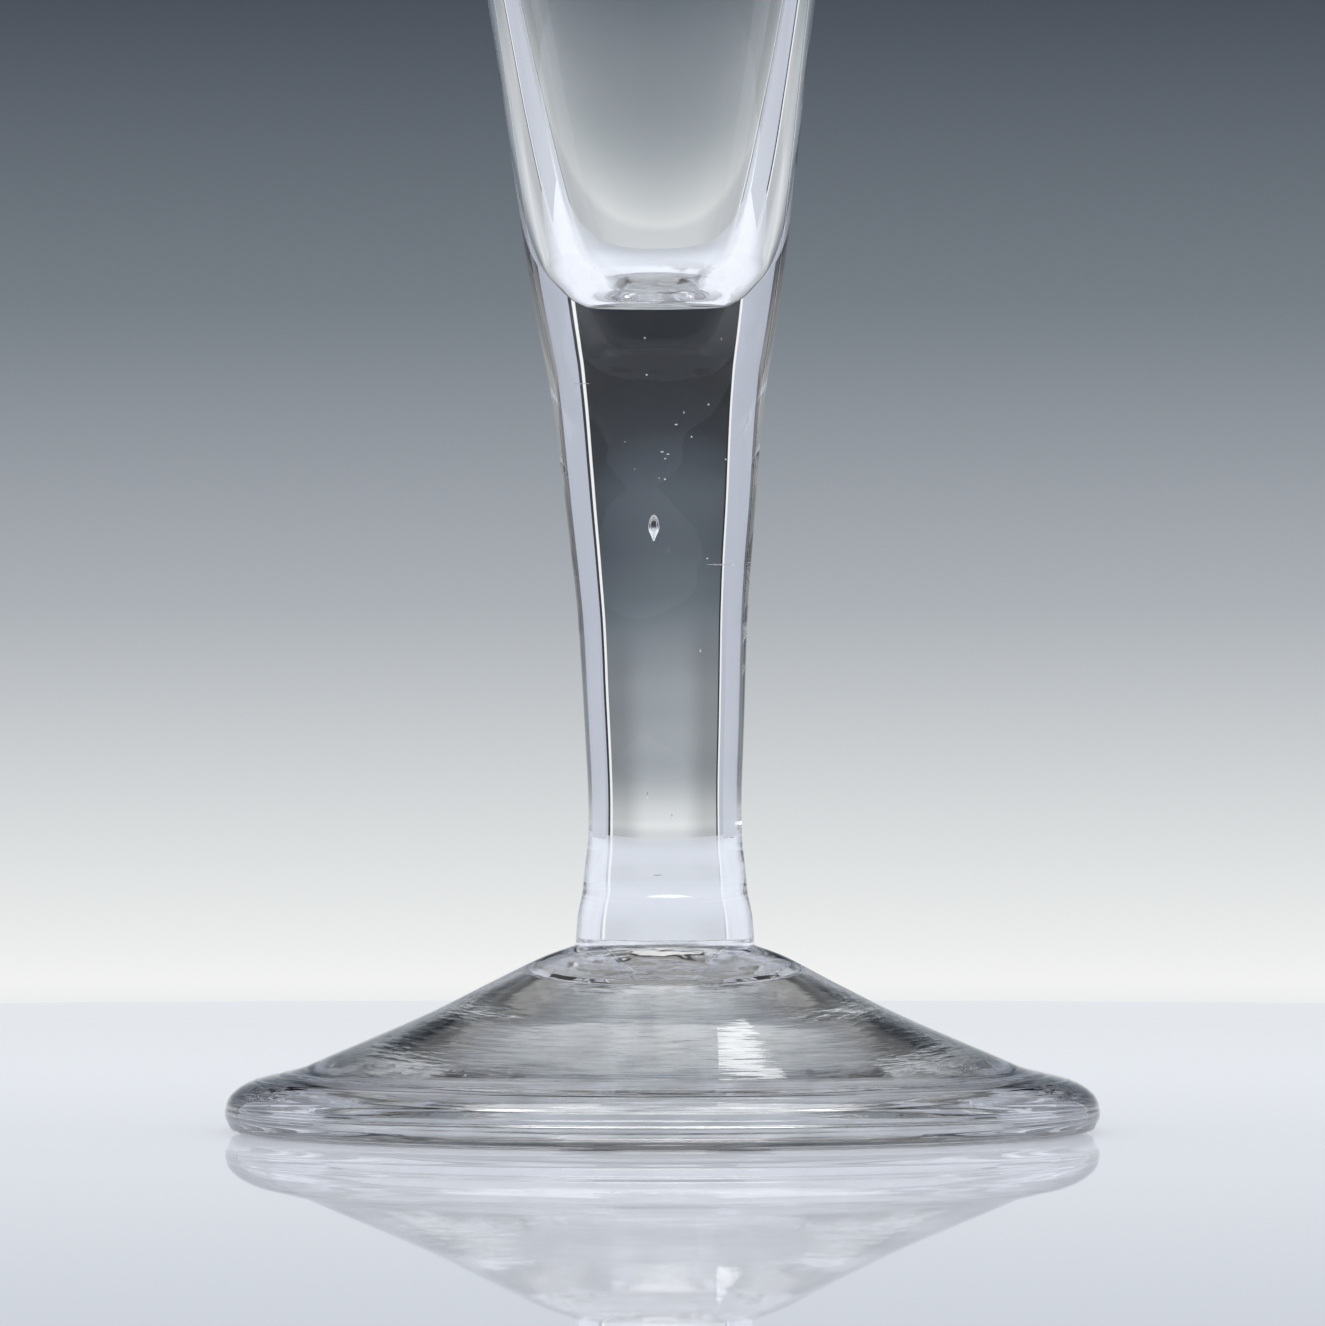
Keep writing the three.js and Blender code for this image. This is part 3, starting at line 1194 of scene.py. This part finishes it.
@dataclass(frozen=True)
class RimWall:
    """The one smooth outside of the foot, in millimetres, from the table up to the weld.

    Attributes:
        levels: The heights at which pieces meet.
        contact: Outer and inner radius of the ring on which the glass stands.
        nose_knots: (radius, height) round the rim's outer edge.
        rim_knots: Points of the rim's sloping top.
        crease: The groove where rim and cone meet.
        cone_knots: Points up the cone.
        weld_radius: Radius at which the stem stands on the foot.
        fused_radius: Radius from which the fold and the foot are one glass.
        spacing: The longest step on the rim, and on the cone.
        seam_spacing: The longest step where the fold and the foot are one glass.
    """

    levels: Levels
    contact: tuple[float, float] = (36.4, 35.0)
    nose_knots: Knots = ((37.45, 0.4), (38.0, 1.85), (37.5, 3.25))
    rim_knots: Knots = (
        (36.1, 4.25), (35.3, 4.54), (34.4, 4.82), (33.5, 4.98), (32.6, 5.27), (31.8, 5.42),
    )
    crease: Point = (31.0, 5.68)
    cone_knots: Knots = (
        (29.0, 6.55), (25.0, 8.25), (20.0, 10.45), (15.0, 12.95), (10.4, 15.25),
    )
    weld_radius: float = 7.8
    fused_radius: float = 31.65
    spacing: tuple[float, float] = (0.1, 0.4)
    seam_spacing: float = 0.6

    def outlines(self) -> tuple[Outline, Outline]:
        """Draws the outside and cuts it where the fold meets the foot.

        Returns:
            The fold's stretch and the foot's.
        """
        knots = [(self.contact[0], 0.0), *self.nose_knots, *self.rim_knots, self.crease]
        rim = pressed(smooth_through(knots, self.spacing[0]), GROOVES)
        top = (self.weld_radius, self.levels.foot_top)
        cone = smooth_through([self.crease, *self.cone_knots, top], self.spacing[1])
        low, high = split(rim, self.levels.seam)
        return low, joined(high, cone)


@dataclass
class Foot:
    """The conical foot's upper layer.

    Attributes:
        levels: The heights at which pieces meet.
        stance: How the glass stands.
        wall: The outside, in millimetres as every size here.
        mark_radius: Radius of the pontil mark on the hollow's flat ceiling.
        ceiling_radius: Radius of that ceiling.
        under_knots: (radius, height) down the hollow's side.
        inner_radius: Radius at which that side reaches the seam.
        corner_spacing: The longest step between the mark and the ceiling's edge.
        spacing: The longest step on the hollow's side.
        spin_steps: Steps of the turn.
    """

    levels: Levels
    stance: Stance
    wall: RimWall
    mark_radius: float = 9.4
    ceiling_radius: float = 10.4
    under_knots: Knots = (
        (12.5, 9.95), (15.0, 8.75), (17.5, 7.65), (20.0, 6.55), (22.5, 5.5), (25.0, 4.5),
        (27.5, 3.55), (29.8, 2.75),
    )
    inner_radius: float = 30.8
    corner_spacing: float = 0.3
    spacing: float = 0.4
    spin_steps: int = 192

    def mesh(self) -> bmesh.types.BMesh:
        """Builds the foot's mesh.

        Returns:
            The mesh, in millimetres.
        """
        seam, ceiling, top = self.levels.seam, self.levels.ceiling, self.levels.foot_top
        outside = self.wall.outlines()[1]
        mark, edge = (self.mark_radius, ceiling), (self.ceiling_radius, ceiling)
        inner, fused = (self.inner_radius, seam), (self.wall.fused_radius, seam)
        outline = joined(
            straight((0.0, ceiling), mark, WELD_SPACING),
            straight(mark, edge, self.corner_spacing),
            smooth_through([edge, *self.under_knots], self.spacing),
            straight(self.under_knots[-1], inner, self.spacing),
            straight(inner, fused, self.spacing),
            straight(fused, outside[0], self.wall.seam_spacing),
            outside,
            straight(outside[-1], (0.0, top), WELD_SPACING),
        )
        bm = spun(outline, self.spin_steps)
        marked(bm, Surface.WELD, lambda middle, normal: (
            normal.z > LEVEL and middle.z > top - ON_SEAM
        ))
        marked(bm, Surface.WELD, lambda middle, normal: normal.z < -LEVEL and (
            middle.z > ceiling - ON_SEAM and middle.xy.length < self.mark_radius
            or middle.z < seam + ON_SEAM and middle.xy.length > self.wall.fused_radius
        ))
        move_points(bm, self.stance.footed)
        return bm

    def build(self, finishes: Finishes) -> bpy.types.Object:
        """Makes the piece."""
        materials = (finishes.foot, finishes.weld)
        return piece("conical_foot", self.mesh(), "foot", materials)


@dataclass
class FootFold:
    """The rim's turned-under layer, on whose narrow ring the glass stands.

    Attributes:
        levels: The heights at which pieces meet.
        wall: The outside, in millimetres as every size here.
        inner_knots: (radius, height) down the fold's inner edge.
        tip_radius: Radius of its thin tip.
        gap: The air gap between the tip and the foot.
        spacing: The longest step on the inner edge and in the gap.
        contact_spacing: The longest step on the ring that stands on the table.
        spin_steps: Steps of the turn.
    """

    levels: Levels
    wall: RimWall
    inner_knots: Knots = ((30.8, 1.45), (31.35, 0.9))
    tip_radius: float = 31.0
    gap: float = 0.2
    spacing: float = 0.25
    contact_spacing: float = 0.35
    spin_steps: int = 192

    def mesh(self) -> bmesh.types.BMesh:
        """Builds the fold's mesh.

        Returns:
            The mesh, in millimetres.
        """
        seam = self.levels.seam
        outside = self.wall.outlines()[0]
        inner_contact = (self.wall.contact[1], 0.0)
        tip = (self.tip_radius, seam - self.gap)
        fused = (self.wall.fused_radius, seam)
        outline = joined(
            smooth_through([tip, *self.inner_knots, inner_contact], self.spacing),
            straight(inner_contact, outside[0], self.contact_spacing),
            outside,
            straight(outside[-1], fused, self.wall.seam_spacing),
            straight(fused, tip, self.spacing),
        )
        bm = spun(outline[:-1], self.spin_steps, closed=True)
        marked(bm, Surface.WELD, lambda middle, normal: (
            normal.z > LEVEL
            and middle.z > seam - ON_SEAM
            and middle.xy.length > self.wall.fused_radius
        ))
        return bm

    def build(self, finishes: Finishes) -> bpy.types.Object:
        """Makes the piece."""
        materials = (finishes.fold, finishes.weld)
        return piece("folded_rim", self.mesh(), "foot_fold", materials)


@dataclass
class PontilMark:
    """The broken glass under the middle of the foot.

    Attributes:
        levels: The heights at which pieces meet.
        radius: Its radius, in millimetres as every size here.
        flat_radius: Radius up to which it is as thick as in its middle.
        thickness: Its thickness there.
        roughness: How far its underside goes up and down.
        lumps: How often its broad and its small lumps repeat for each millimetre.
        small_share: The small lumps' height beside the broad ones'.
        spacing: The longest step on its underside.
        spin_steps: Steps of the turn.
    """

    levels: Levels
    radius: float = 9.4
    flat_radius: float = 5.0
    thickness: float = 0.6
    roughness: float = 0.14
    lumps: tuple[float, float] = (0.3, 0.8)
    small_share: float = 0.35
    spacing: float = 0.2
    spin_steps: int = 128

    def mesh(self) -> bmesh.types.BMesh:
        """Builds the mark's mesh.

        Returns:
            The mesh, in millimetres.
        """
        ceiling = self.levels.ceiling
        edge = (self.radius, ceiling)
        bottom = ceiling - self.thickness
        under = smooth_through([(0.0, bottom), (self.flat_radius, bottom), edge], self.spacing)
        bm = spun(joined(under, straight(edge, (0.0, ceiling), WELD_SPACING)), self.spin_steps)
        marked(bm, Surface.WELD, lambda middle, normal: normal.z > LEVEL)
        move_points(bm, self.chipped)
        return bm

    def chipped(self, place: Vector) -> Vector:
        """Pushes a point of the underside up or down, as broken glass lies.

        Args:
            place: The point, in millimetres.

        Returns:
            The moved point.
        """
        depth = fade(self.levels.ceiling - place.z, 0.0, self.thickness)
        broad, small = (noise.noise(place * rate) for rate in self.lumps)
        height = broad + self.small_share * small
        return Vector((place.x, place.y, place.z + self.roughness * depth * height))

    def build(self, finishes: Finishes) -> bpy.types.Object:
        """Makes the piece."""
        materials = (finishes.broken, finishes.weld)
        return piece("pontil_scar", self.mesh(), "pontil_mark", materials)


@dataclass(frozen=True)
class Strip:
    """An upright strip of the backdrop, between two angles from straight behind the glass.

    Attributes:
        right: True for a strip on the right, False for one on the left.
        start: Where it starts, in degrees.
        end: Where it ends.
        colour: Its light.
        fade: How softly it ends, in degrees.
        rise: How softly it starts.
    """

    right: bool
    start: float
    end: float
    colour: Colour
    fade: float = 0.3
    rise: float = 0.3


@dataclass(frozen=True)
class SoftBox:
    """A soft light that faces the glass.

    Attributes:
        name: The lamp's name.
        azimuth: Its angle to the right of straight behind the glass, in degrees.
        elevation: Its angle above the table, in degrees.
        width: Its width in metres.
        length: Its length upwards and backwards, in metres.
        radiance: Its brightness, where 1 is white.
        distance: Its distance from the glass in metres.
        foot_only: True for a lamp that only the foot shows, in its depth too.
    """

    name: str
    azimuth: float
    elevation: float
    width: float
    length: float
    radiance: float
    distance: float = 0.55
    foot_only: bool = False

    def direction(self) -> Vector:
        """Works out where the lamp stands.

        Returns:
            The way from the glass to the lamp, with a length of 1.
        """
        azimuth, elevation = math.radians(self.azimuth), math.radians(self.elevation)
        return Vector((
            math.sin(azimuth) * math.cos(elevation),
            math.cos(azimuth) * math.cos(elevation),
            math.sin(elevation),
        ))

    def make(self) -> bpy.types.Object:
        """Builds the lamp.

        Returns:
            The lamp's object, in the scene.
        """
        data = bpy.data.lights.new(self.name, "AREA")
        data.shape = "RECTANGLE"
        data.size = self.width
        data.size_y = self.length
        data.energy = self.radiance * math.pi * self.width * self.length
        lamp = bpy.data.objects.new(self.name, data)
        lamp.visible_transmission = self.foot_only
        away = self.direction()
        lamp.location = away * self.distance
        lamp.rotation_mode = "QUATERNION"
        lamp.rotation_quaternion = away.to_track_quat("Z", "Y")
        bpy.context.scene.collection.objects.link(lamp)
        return lamp


SOFT_BOXES = (
    SoftBox("window", 5.6, 48.8, 0.09, 0.024, 3.0),
    SoftBox("strip_light", 0.3, 52.0, 0.055, 0.4, 0.8),
    SoftBox("front_light", 180.0, 33.0, 1.0, 0.11, 7.0, 0.58, foot_only=True),
    SoftBox("top_light", 0.0, 90.0, 0.8, 0.8, 2.5, 0.85, foot_only=True),
)
PANEL_LIGHT = linear(188, 193, 208)
PANEL_FOOT_LIGHT = linear(206, 211, 222)
STRIPS = (
    Strip(True, 32.4, 34.6, linear(250, 251, 252)),
    Strip(True, 34.6, 36.8, linear(30, 34, 40)),
    Strip(True, 36.8, 63.0, PANEL_LIGHT, 2.0),
    Strip(False, 32.2, 33.6, linear(28, 32, 38)),
    Strip(False, 33.6, 35.2, linear(250, 251, 252)),
    Strip(False, 35.2, 63.0, PANEL_LIGHT, 2.0),
)


@dataclass
class Studio:
    """The plain table, graduated backdrop, soft side panels, lamps and camera, in metres.

    Attributes:
        eye_distance: Camera to the glass's axis.
        eye_height: Camera above the table.
        lens: Focal length, in the sensor's units.
        sensor: Width of the sensor.
        clip: The nearest and farthest places that the camera sees.
        table_radius: Radius at which the pale table ends.
        table_segments: Sides of the table's disc.
        table_colour: What the table is painted.
        table_glow: The light that it adds, as pale stuff lit from all sides does.
        table_sheen: The same at flat angles.
        table_ior: How soon its gloss grows at flat angles.
        table_polish: The roughness of its gloss.
        table_mirror: The share of the gloss that shows.
        near_span: Places from front to back where the camera's side of the table ends.
        near_shade: How much darker the table is on the camera's side of the glass.
        far_span: Places from front to back where its far edge begins, and is full.
        far_shade: How much darker it is at its far edge.
        far_lift: The share of the sheen that the far edge has.
        drop_radius: Distance of the backdrop from the glass.
        drop_segments: Sides of the backdrop's ring.
        drop_tones: Its tones in sRGB by height, from its foot to its ceiling.
        room_span: Places from front to back where the camera's side of the room ends.
        near_dim: The share of the backdrop's light that the camera's side of the room has.
        side_span: Degrees to a side at which the backdrop's bright foot darkens, and is dark.
        side_heights: Heights at which that foot begins to end, and ends.
        side_dim: How much darker it is to the sides.
        half_edge: Width of the seam between the backdrop's right and left half.
        ceiling_radius: Radius at which the white ceiling's dark edge starts.
        ceiling_fade: Width over which it comes on.
        ceiling_edge: The dark edge's light.
        ceiling_depths: Depths below the top at which the ceiling's light begins, and is full.
        panel_radius: Distance of the two side panels from the glass.
        panel_ends: The angles from straight behind the glass between which they stand.
        panel_steps: Steps of their curve.
        panel_height: Their height.
        panel_foot: Height up to which they are paler.
        sky_tones: The backdrop's tones as the camera sees them, by degrees above level.
        foot_lamps: The lamps that light only the foot.
    """

    eye_distance: float = 0.890
    eye_height: float = 0.0407
    lens: float = 278.2
    sensor: float = 36.0
    clip: tuple[float, float] = (0.01, 50.0)
    table_radius: float = 0.346
    table_segments: int = 256
    table_colour: Colour = (0.80, 0.84, 0.92, 1.0)
    table_glow: Colour = (0.20, 0.205, 0.23, 1.0)
    table_sheen: Colour = (0.94, 0.98, 1.08, 1.0)
    table_ior: float = 1.45
    table_polish: float = 0.015
    table_mirror: float = 0.79
    near_span: tuple[float, float] = (-0.08, 0.04)
    near_shade: float = 0.65
    far_span: tuple[float, float] = (0.1, 0.34)
    far_shade: float = 0.36
    far_lift: float = 0.9
    drop_radius: float = 0.6
    drop_segments: int = 96
    drop_tones: Tones = (
        (-0.1500, (216, 218, 222)),
        (-0.0050, (216, 219, 222)),
        (0.0050, (232, 234, 235)),
        (0.0132, (222, 225, 227)),
        (0.0494, (172, 178, 183)),
        (0.0763, (136, 143, 150)),
        (0.1060, (100, 109, 118)),
        (0.1360, (70, 78, 88)),
        (0.1550, (45, 50, 58)),
        (0.2000, (30, 33, 38)),
        (0.2700, (30, 33, 38)),
        (0.3100, (155, 155, 154)),
        (0.9000, (155, 155, 154)),
    )
    room_span: tuple[float, float] = (-0.05, 0.05)
    near_dim: float = 0.45
    side_span: tuple[float, float] = (8.0, 24.0)
    side_heights: tuple[float, float] = (0.06, 0.11)
    side_dim: float = 0.3
    half_edge: float = 0.0001
    ceiling_radius: float = 0.46
    ceiling_fade: float = 0.01
    ceiling_edge: Colour = (0.02, 0.02, 0.02, 1.0)
    ceiling_depths: tuple[float, float] = (0.002, 0.001)
    panel_radius: float = 0.25
    panel_ends: tuple[float, float] = (39.0, 63.0)
    panel_steps: int = 24
    panel_height: float = 0.375
    panel_foot: float = 0.1
    sky_tones: Tones = (
        (-6.0, (222, 226, 233)),
        (-2.0, (232, 233, 236)),
        (-1.80, (242, 243, 242)),
        (-1.02, (220, 223, 224)),
        (0.32, (172, 177, 183)),
        (2.0, (119, 127, 135)),
        (3.68, (76, 83, 93)),
        (5.0, (56, 61, 68)),
        (8.0, (151, 151, 150)),
        (30.0, (151, 151, 150)),
    )
    foot_lamps: list[bpy.types.Object] = field(default_factory=list)

    def build(self) -> None:
        """Makes everything that isn't the glass."""
        self.make_camera()
        self.make_table()
        self.make_backdrop()
        self.make_panels()
        self.make_world()
        self.make_lamps()

    def make_camera(self) -> None:
        """The camera, level, at the photograph's angle and distance."""
        data = bpy.data.cameras.new("camera")
        data.lens = self.lens
        data.sensor_width = self.sensor
        data.clip_start, data.clip_end = self.clip
        eye = bpy.data.objects.new("camera", data)
        eye.location = (0.0, -self.eye_distance, self.eye_height)
        eye.rotation_euler = (math.pi / 2, 0.0, 0.0)
        bpy.context.scene.collection.objects.link(eye)
        bpy.context.scene.camera = eye

    def make_table(self) -> None:
        """A pale polished disc, whose darker near side and far edge have a pale sheen."""
        bm = bmesh.new()
        bmesh.ops.create_circle(
            bm, cap_ends=True, segments=self.table_segments, radius=self.table_radius
        )
        material = bpy.data.materials.new("pale_table")
        kit = NodeKit(material)
        y = kit.number("ShaderNodeSeparateXYZ", None, {0: kit.coordinates()}, output="Y")
        near = 1 - y.step(*self.near_span)
        far = y.step(*self.far_span) * self.far_shade
        shade = near * self.near_shade + far
        grazing = kit.number("ShaderNodeFresnel", None, {"IOR": self.table_ior})
        lift = (near + far * grazing * self.far_lift) * grazing
        paint = kit.mixed(shade, self.table_colour, BLACK)
        cloth = kit.node("ShaderNodeBsdfDiffuse", None, {"Color": paint}).outputs[0]
        light = kit.mixed(lift, kit.mixed(shade, self.table_glow, BLACK), self.table_sheen)
        base = kit.node("ShaderNodeAddShader", None, {0: cloth, 1: kit.glow(light)}).outputs[0]
        shine = {"Color": WHITE, "Roughness": self.table_polish}
        gloss = kit.node("ShaderNodeBsdfGlossy", None, shine).outputs[0]
        kit.finish(kit.blended(grazing * self.table_mirror, base, gloss))
        self.place("table", bm, material)

    def make_backdrop(self) -> None:
        """The ring of backdrop with its ceiling, which the glass and the table show."""
        low, high = self.drop_tones[0][0], self.drop_tones[-1][0]
        bm = bmesh.new()
        ring = bmesh.ops.create_circle(
            bm, cap_ends=False, segments=self.drop_segments, radius=self.drop_radius
        )["verts"]
        bmesh.ops.translate(bm, vec=(0, 0, low), verts=ring)
        bmesh.ops.contextual_create(bm, geom=self.raised(bm, bm.edges[:], high - low))
        self.hide(self.place("backdrop", bm, self.backdrop_light()))

    def backdrop_light(self) -> bpy.types.Material:
        """Builds the backdrop's tones by height, its dim side, its strips and its ceiling.

        Returns:
            The material.
        """
        material = bpy.data.materials.new("graduated_backdrop")
        kit = NodeKit(material)
        place = kit.node("ShaderNodeSeparateXYZ", None, {0: kit.coordinates()})
        x, y, z = (Wire(kit, socket) for socket in place.outputs)
        turn = x.call("ARCTAN2", y) * DEGREES
        across = 90 - (turn.call("ABSOLUTE") - 90).call("ABSOLUTE")
        right = x.step(0.0, self.half_edge)
        far = y.step(*self.room_span)
        side = across.step(*self.side_span) * (1 - z.step(*self.side_heights)) * self.side_dim
        dim = ((1 - far) * (1 - self.near_dim)).call("MAXIMUM", side)
        lit = kit.mixed(dim, kit.graded(z, self.drop_tones), BLACK)
        for strip in STRIPS:
            where = across.step(strip.start, strip.start + strip.rise)
            where = where * (1 - across.step(strip.end, strip.end + strip.fade))
            where = where * (right if strip.right else 1 - right) * far
            lit = kit.mixed(where, lit, strip.colour)
        top = self.drop_tones[-1][0]
        cap = z.step(*(top - depth for depth in self.ceiling_depths))
        edge = kit.radius().step(self.ceiling_radius, self.ceiling_radius + self.ceiling_fade)
        ceiling = kit.mixed(edge, WHITE, self.ceiling_edge)
        kit.finish(kit.glow(kit.mixed(cap, lit, ceiling)))
        return material

    def make_panels(self) -> None:
        """The soft side panels, which stand on the table and hide its far parts from the bowl."""
        bm = bmesh.new()
        start, end = self.panel_ends
        steps = self.panel_steps
        turns = [math.radians(start + (end - start) * step / steps) for step in range(steps + 1)]
        places = [(math.sin(t) * self.panel_radius, math.cos(t) * self.panel_radius) for t in turns]
        for side in (-1, 1):
            foot = [bm.verts.new((side * x, y, 0)) for x, y in places]
            self.raised(bm, [bm.edges.new(pair) for pair in zip(foot, foot[1:])], self.panel_height)
        material = bpy.data.materials.new("side_panel")
        kit = NodeKit(material)
        light = kit.mixed(kit.height().step(0.0, self.panel_foot), PANEL_FOOT_LIGHT, PANEL_LIGHT)
        kit.finish(kit.glow(light))
        self.hide(self.place("side_panels", bm, material))

    @staticmethod
    def raised(
        bm: bmesh.types.BMesh, edges: list[bmesh.types.BMEdge], height: float
    ) -> list[bmesh.types.BMEdge]:
        """Raises an upright wall from some edges.

        Args:
            bm: Their mesh.
            edges: The edges at the wall's foot.
            height: The wall's height.

        Returns:
            The edges at its top.
        """
        wall = bmesh.ops.extrude_edge_only(bm, edges=edges)["geom"]
        tops = [item for item in wall if isinstance(item, bmesh.types.BMVert)]
        bmesh.ops.translate(bm, vec=(0, 0, height), verts=tops)
        return [item for item in wall if isinstance(item, bmesh.types.BMEdge)]

    @staticmethod
    def hide(item: bpy.types.Object) -> None:
        """Keeps a stage object for reflections and for what the glass shows.

        Args:
            item: The object, which neither the camera nor plain light then meets.
        """
        item.visible_camera = False
        item.visible_diffuse = False
        item.visible_shadow = False

    @staticmethod
    def place(name: str, bm: bmesh.types.BMesh, material: bpy.types.Material) -> bpy.types.Object:
        """Makes a stage object.

        Args:
            name: Its name.
            bm: Its mesh in metres, which is used up.
            material: Its material.

        Returns:
            The object.
        """
        mesh = bpy.data.meshes.new(name)
        bm.to_mesh(mesh)
        bm.free()
        mesh.materials.append(material)
        made = bpy.data.objects.new(name, mesh)
        bpy.context.scene.collection.objects.link(made)
        return made

    def make_world(self) -> None:
        """The backdrop as the camera sees it, and plain white light on what isn't glossy."""
        world = bpy.data.worlds.new("studio")
        bpy.context.scene.world = world
        kit = NodeKit(world)
        way = kit.node("ShaderNodeTexCoord").outputs["Generated"]
        rise = kit.number("ShaderNodeSeparateXYZ", None, {0: way}, output="Z")
        drop = kit.graded(rise.call("ARCSINE") * DEGREES, self.sky_tones)
        path = kit.node("ShaderNodeLightPath")
        colour = kit.mixed(path.outputs["Is Diffuse Ray"], drop, WHITE)
        light = kit.node("ShaderNodeBackground", None, {"Color": colour, "Strength": 1.0})
        kit.node("ShaderNodeOutputWorld", None, {"Surface": light.outputs[0]})

    def make_lamps(self) -> None:
        """The soft lights above, behind and in front, whose reflections show on the foot."""
        for box in SOFT_BOXES:
            lamp = box.make()
            if box.foot_only:
                self.foot_lamps.append(lamp)

    def light_foot(self, pieces: Iterable[bpy.types.Object]) -> None:
        """Lets the foot's own lamps light nothing but some pieces.

        Args:
            pieces: The pieces.
        """
        lit = bpy.data.collections.new("foot_pieces")
        for item in pieces:
            lit.objects.link(item)
        for lamp in self.foot_lamps:
            lamp.light_linking.receiver_collection = lit


def main() -> None:
    """Builds the studio and every piece of the glass, in order."""
    logging.basicConfig(level=logging.INFO, format="%(message)s")
    scene = bpy.context.scene
    scene.view_settings.view_transform = "Standard"
    scene.cycles.max_bounces = LIGHT_BOUNCES
    scene.cycles.transmission_bounces = LIGHT_BOUNCES
    scene.cycles.glossy_bounces = GLOSSY_BOUNCES
    scene.cycles.transparent_max_bounces = CLEAR_BOUNCES
    levels = Levels.from_frame()
    stance = Stance(levels)
    wall = DrawnWall(levels)
    rim = RimWall(levels)
    finishes = Finishes.make()
    studio = Studio()
    studio.build()
    fold = FootFold(levels, rim).build(finishes)
    foot = Foot(levels, stance, rim).build(finishes)
    studio.light_foot((fold, foot))
    PontilMark(levels).build(finishes)
    Stem(levels, stance, wall).build(finishes)
    Bowl(levels, stance, wall).build(finishes)


if __name__ == "__main__":
    main()
